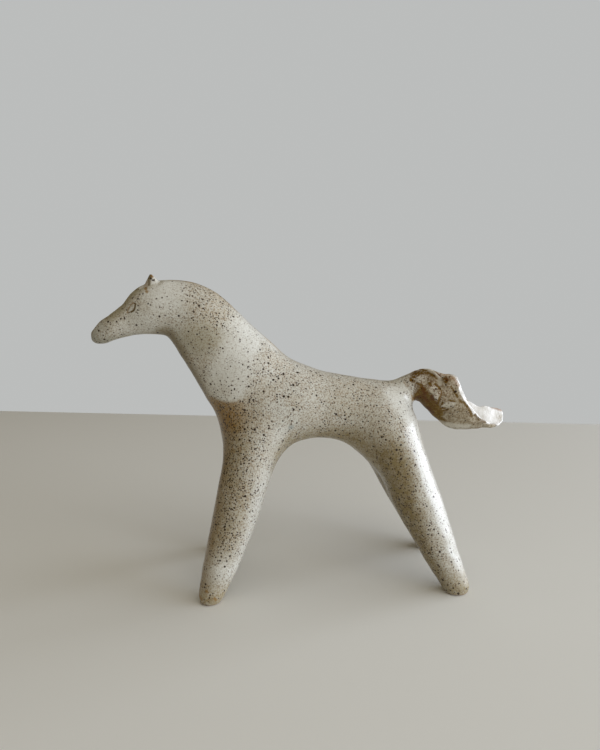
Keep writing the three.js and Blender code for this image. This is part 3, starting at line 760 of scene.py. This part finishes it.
def ear_glaze():
    f = Finish(bpy.data.materials.new("ear_glaze"))
    f.find_place()
    ragged = (f.clouds(2, 2) - 0.5) * 1.2
    colour = coat(f, 0.85, 0.05)
    front = f.patch((-85.8, 0, 167.2), (1.7, 20, 3), 0.6, ragged * 0.3)
    tip = f.streak([[(-84.7, 173.4), (-84.3, 171.4)]], 1.5, 0.4, ragged)
    ridge = f.streak([[(-84.4, 171.5), (-84.3, 167.3)]], 0.8, 0.6, ragged)
    glow = f.streak([[(-83.2, 172.2), (-82.8, 171.5)]], 0.6, 0.7, ragged * 0.5)
    spots = f.streak([[(-83.7, 170.7), (-83.3, 170.5)], [(-82.6, 169.7), (-81.8, 169.6)]],
                     0.45, 0.4, ragged * 0.2)
    colour = f.mix(front * 0.6, colour, STIPPLE)
    colour = f.mix((tip * 0.92).over(ridge * 0.8), colour, OLIVE)
    colour = f.mix(glow * 0.8, colour, EAR_GLOW)
    colour, _ = grains(f, f.mix(spots * 0.9, colour, IRON), 0.15)
    return f.finish(colour, SATIN_ROUGHNESS, f.clouds(1.6, 2, seed=5), GLAZE_RELIEF, SATIN)


head = carve("head", beyond(POLL))
ears = ear_glaze()
for name, block in EAR_BLOCKS.items():
    ear = nip_off(head, block, EAR_SEAT)
    ear.name = "glazed_" + name
    dress(ear, name, ears)
for block in EYE_BLOCKS:
    scratch_eye(block)
dress(head, "head", glaze)

# The curled tail
# The slab with its glaze: mottled brown and olive where the glaze ran thin over the creases, and
# pooled white along the lips and in the bowl of the tip, brightened there as a painted
# highlight.

TAIL_GREY = (0.45, 0.40, 0.305)
TAIL_BROWN = (0.135, 0.074, 0.007)
TAIL_BURNT = (0.105, 0.036, 0.003)
TAIL_OCHRE = (0.27, 0.19, 0.05)
TAIL_PALE = (0.60, 0.57, 0.49)
TAIL_WHITE_AND_HIGHLIGHT = (0.95, 0.95, 0.94)
TAIL_RED = (0.33, 0.165, 0.08)
TAIL_ROUGHNESS = 0.4
TAIL_GLOSS = {"Specular IOR Level": 0.15, "Coat Weight": 0.25, "Coat Roughness": 0.2}
TAIL_RELIEF = 0.14 * MM
GROOVE = [(71.8, 112.5), (73.6, 111.3), (74.8, 109), (75.2, 107.3), (74.4, 105.6), (73.9, 102.8),
          (74, 100)]
WIDE_STROKES = [[(60.4, 116), (63.9, 118), (66.8, 118.8), (69.7, 118.8)],
                [(70.3, 118), (72.2, 116.7), (74.5, 115.3)], [(76.5, 116.5), (77.6, 114)],
                [(59, 114.4), (60.4, 113.8)], [(73, 92.5), (78, 89)]]
FINE_STROKES = [[(61.5, 112.8), (64.3, 112)], [(75.3, 96), (77.3, 97.1), (79.8, 98.2)],
                [(75.8, 98.5), (77.8, 98.8)], [(75.7, 100.6), (76.2, 102.2)],
                [(80.2, 103.3), (82.5, 103)], [(80.4, 111.3), (81.7, 109.2), (84.2, 105.4)],
                [(68.6, 113), (69.6, 112)]]
BURNT_STROKES = [[(64.7, 110.4), (66.2, 106.9)], [(61.7, 104.1), (64, 105.2)],
                 [(65.7, 105.2), (68.7, 102.3)], [(70, 105.7), (70.7, 103.7)],
                 [(63, 102.4), (67.1, 98.9)], [(77.6, 115.6), (78.3, 115)],
                 [(70, 98), (72.4, 95)]]
LIGHT_PLACES = [[(61.5, 115.2), (66, 115.6)], [(70.8, 110.5), (71.8, 104.8)],
                [(78, 88.6), (84, 87.2), (92, 87)], [(76.5, 100.4), (81.5, 101.6)]]
ROOT = [(61.8, 107.6), (65.3, 104), (69.3, 99.5), (73, 95.2)]
UNDER_LIP = [[(85.8, 103.3), (88.3, 102), (90.1, 99.7), (91.3, 98), (92.5, 96.3), (93.2, 94)],
             [(95, 94.8), (96.5, 93.3), (98.3, 91.8), (102.4, 89.9)]]
LIP = [(86.2, 109.9), (87.3, 107.6), (89.2, 104.4), (92.2, 100.6), (94.6, 97), (97.2, 94),
       (101, 91.5), (105, 89.9)]


def tail_glaze():
    f = Finish(bpy.data.materials.new("tail_glaze"))
    f.find_place()
    ragged = (f.clouds(2.4, 3, seed=60) - 0.5) * 3
    torn = (f.clouds(0.9, 3, seed=25) - 0.5) * 2.8

    # The wall of the slab, greyish and mottled, and its darker root
    slab = f.patch((90, 0, 100), (31.5, 30, 30), 0.06, ragged * 0.03)
    mottled = f.clouds(1.1, 3, seed=77).ramp(0.44, 0.60)
    streaky = f.clouds(2.6, 4, seed=18).ramp(0.44, 0.60)
    wall = f.mix(mottled * 0.55, TAIL_GREY, TAIL_BROWN)
    wall = f.mix(streaky * 0.28, wall, TAIL_BROWN)
    light = f.streak(LIGHT_PLACES, 1.6, 0.7, ragged * 0.4)
    wall = f.mix(light * 0.75, wall, TAIL_PALE)
    root = (f.streak([ROOT], 4.9, 0.2, torn + ragged * 0.5)
            .over(f.streak([[ROOT[-1], (78.5, 89.5)]], 1.8, 0.5, torn * 0.5)))
    ochre = f.clouds(1.6, 3, seed=12).ramp(0.48, 0.6) * 0.5
    wall = f.mix(root, wall, f.mix(ochre, TAIL_BROWN, TAIL_OCHRE))
    colour = f.mix(slab, coat(f, 0.1, 0.0), wall)

    # The creases and torn edges, where the glaze broke to brown
    broken = f.clouds(1.4, 3, seed=44).ramp(0.36, 0.5) * 0.6 + 0.4
    brown = (f.streak([GROOVE], 0.65, 0.6, torn * 0.3)
             .over(f.streak(WIDE_STROKES, 1.1, 0.5, torn * 0.8))
             .over(f.streak(FINE_STROKES, 0.6, 0.6, torn * 0.4))) * broken
    colour = f.mix(brown, colour, TAIL_BROWN)
    worn = f.patch((68, 0, 107), (12, 30, 13), 0.5, ragged * 0.1)
    flecks = f.clouds(1.0, 4, seed=91).ramp(0.5, 0.58) * worn
    burnt = f.streak(BURNT_STROKES, 0.95, 0.5, torn * 0.5).over(flecks * 0.8)
    colour = f.mix(burnt * 0.9, colour, TAIL_BURNT)
    blots = f.specks(2.0, 0.3, 0.5, 0.9) * slab
    colour = f.mix(blots * 0.5, colour, OLIVE)
    colour, _ = grains(f, colour, 0.42)

    # The pale crown and keel, and the white of the lip, the bowl and the trough: pooled white
    # glaze, brightened as a painted highlight
    crown = f.streak([[(69.6, 120), (72.8, 118.4), (74.6, 116), (74.5, 112.5)],
                      [(77.5, 89.3), (84, 88), (93, 87.8)]], 1.1, 0.6, ragged * 0.15)
    lip = f.streak([LIP], 1.5, 0.4, ragged * 0.12)
    # Pooled white in the bowl, brightened as a painted highlight
    bowl_white_and_highlight = f.streak([[(100, 7, 93), (106, 6, 91), (114, 7, 90)]], 7, 0.2, 0.0)
    trough = f.patch((90, 3, 104), (10, 9.5, 12), 0.22, ragged * 0.04)
    colour = f.mix(crown * 0.6, colour, TAIL_PALE)
    colour = f.mix(lip.over(bowl_white_and_highlight).over(trough), colour, TAIL_WHITE_AND_HIGHLIGHT)

    # Touches on the white: brown under the near lip, red on the rims, and painted shade in the
    # folds and under the far rim
    near_side = f.patch((90, -16, 100), (60, 17, 60), 0.1, 0.0)
    under_lip = f.streak(UNDER_LIP, 0.75, 0.5, torn * 0.6) * near_side
    colour = f.mix(under_lip * (0.35 + broken * 0.6), colour, TAIL_BROWN)
    blush = f.streak([[(80.4, 116.4), (83, 115.4), (84.8, 112)]], 1.3, 0.7, ragged * 0.3)
    rim = f.streak([[(112, 11.5, 94.8), (115, 11.8, 94.2), (118, 12, 93)]], 1.7, 0.3,
                   ragged * 0.2)
    colour = f.mix((blush * 0.3).over(rim * 0.7), colour, TAIL_RED)
    # Painted shade in the folds and under the far rim
    fold_shade = f.streak([[(104.6, 3, 95.6), (106, 3, 93.8), (107.2, 3, 92.6)],
                     [(99, 11, 97.6), (104.6, 10.6, 95.8), (109, 10.6, 96)]], 0.8, 0.6, 0.0)
    colour = f.mix(fold_shade * 0.5, colour, TAIL_GREY)
    height = f.clouds(1.6, 2, seed=5) + streaky * 0.6 + mottled * 0.4
    return f.finish(colour, TAIL_ROUGHNESS, height, TAIL_RELIEF, TAIL_GLOSS)


tail = carve("tail", beyond(TAIL_JOINT), before(UNDER_TAIL))
dress(tail, "tail", tail_glaze())
bpy.data.objects.remove(clay)

# The stand-in studio
# A plain pale table under a bright window on the right and soft daylight from the room. The
# camera stands as the photograph's did. Sizes here are in metres and angles in degrees.

TABLE_LEFT = -4
TABLE_RIGHT = 4
TABLE_NEAR_EDGE = -4
TABLE_FAR_EDGE = {TABLE_LEFT: 1.09, TABLE_RIGHT: -0.24}
TABLE_COLOUR = (0.82, 0.83, 0.81, 1)
TABLE_ROUGHNESS = 0.8
ROOM_LIGHT = (0.165, 0.135, 0.085)
WALL_SEEN = (0.50, 0.51, 0.505)
LIT_PLACE = Vector((0, 0, 0.09))
CAMERA_PLACE = (-0.0237, -0.3354, 0.166)
CAMERA_TILT = 8.3
CAMERA_TURN = 3.5
FOCAL_LENGTH_PIXELS = 602
PICTURE_PIXELS = 750
SENSOR_MM = 36

bpy.ops.mesh.primitive_plane_add(size=1, location=(0, 0, 0))
table = bpy.context.object
table.name = "table"
for corner in table.data.vertices:
    end = TABLE_LEFT if corner.co.x < 0 else TABLE_RIGHT
    corner.co = (end, TABLE_FAR_EDGE[end] if corner.co.y > 0 else TABLE_NEAR_EDGE, 0)
paint = Finish(bpy.data.materials.new("table"))
table.data.materials.append(
    paint.shade(**{"Base Color": TABLE_COLOUR, "Roughness": TABLE_ROUGHNESS}))

world = bpy.data.worlds.new("studio")
bpy.context.scene.world = world
room = Finish(world)
seen = room.add("LightPath", {}, output="Is Camera Ray")
tone = room.mix(seen, ROOM_LIGHT, WALL_SEEN)
room.add("OutputWorld", {}, room.add("Background", {}, tone))


def hang_lamp(name, turn, height, distance, size, strength, colour):
    """Aims a rectangle of light at the horse.

    Its turn goes from the tail's end round to the near side, and its height is the angle above
    the table.
    """
    turn = math.radians(turn)
    height = math.radians(height)
    toward = Vector((math.cos(turn) * math.cos(height), -math.sin(turn) * math.cos(height),
                     math.sin(height)))
    bpy.ops.object.light_add(type="AREA", location=LIT_PLACE + toward * distance)
    lamp = bpy.context.object
    lamp.name = name
    lamp.rotation_euler = toward.to_track_quat("Z", "Y").to_euler()
    lamp.data.shape = "RECTANGLE"
    lamp.data.size, lamp.data.size_y = size
    lamp.data.energy = strength
    lamp.data.color = colour
    return lamp


hang_lamp("window", turn=6, height=9, distance=2.0, size=(2.6, 0.9), strength=43,
          colour=(0.98, 1.05, 1.18))
room_light = hang_lamp("room_light", turn=66, height=30, distance=1.2, size=(1.2, 1.2),
                       strength=4.1, colour=(1.0, 0.97, 0.9))
ceiling_light = hang_lamp("ceiling_light", turn=90, height=84, distance=1.3, size=(1.6, 1.6),
                          strength=3.8, colour=(1.0, 0.99, 0.95))
for soft_light in (room_light, ceiling_light):
    soft_light.visible_glossy = False

bpy.ops.object.camera_add(
    location=CAMERA_PLACE,
    rotation=(math.radians(90 - CAMERA_TILT), 0, math.radians(-CAMERA_TURN)))
camera = bpy.context.object
camera.data.lens = FOCAL_LENGTH_PIXELS * SENSOR_MM / PICTURE_PIXELS
bpy.context.scene.camera = camera
bpy.context.scene.view_settings.view_transform = "Standard"
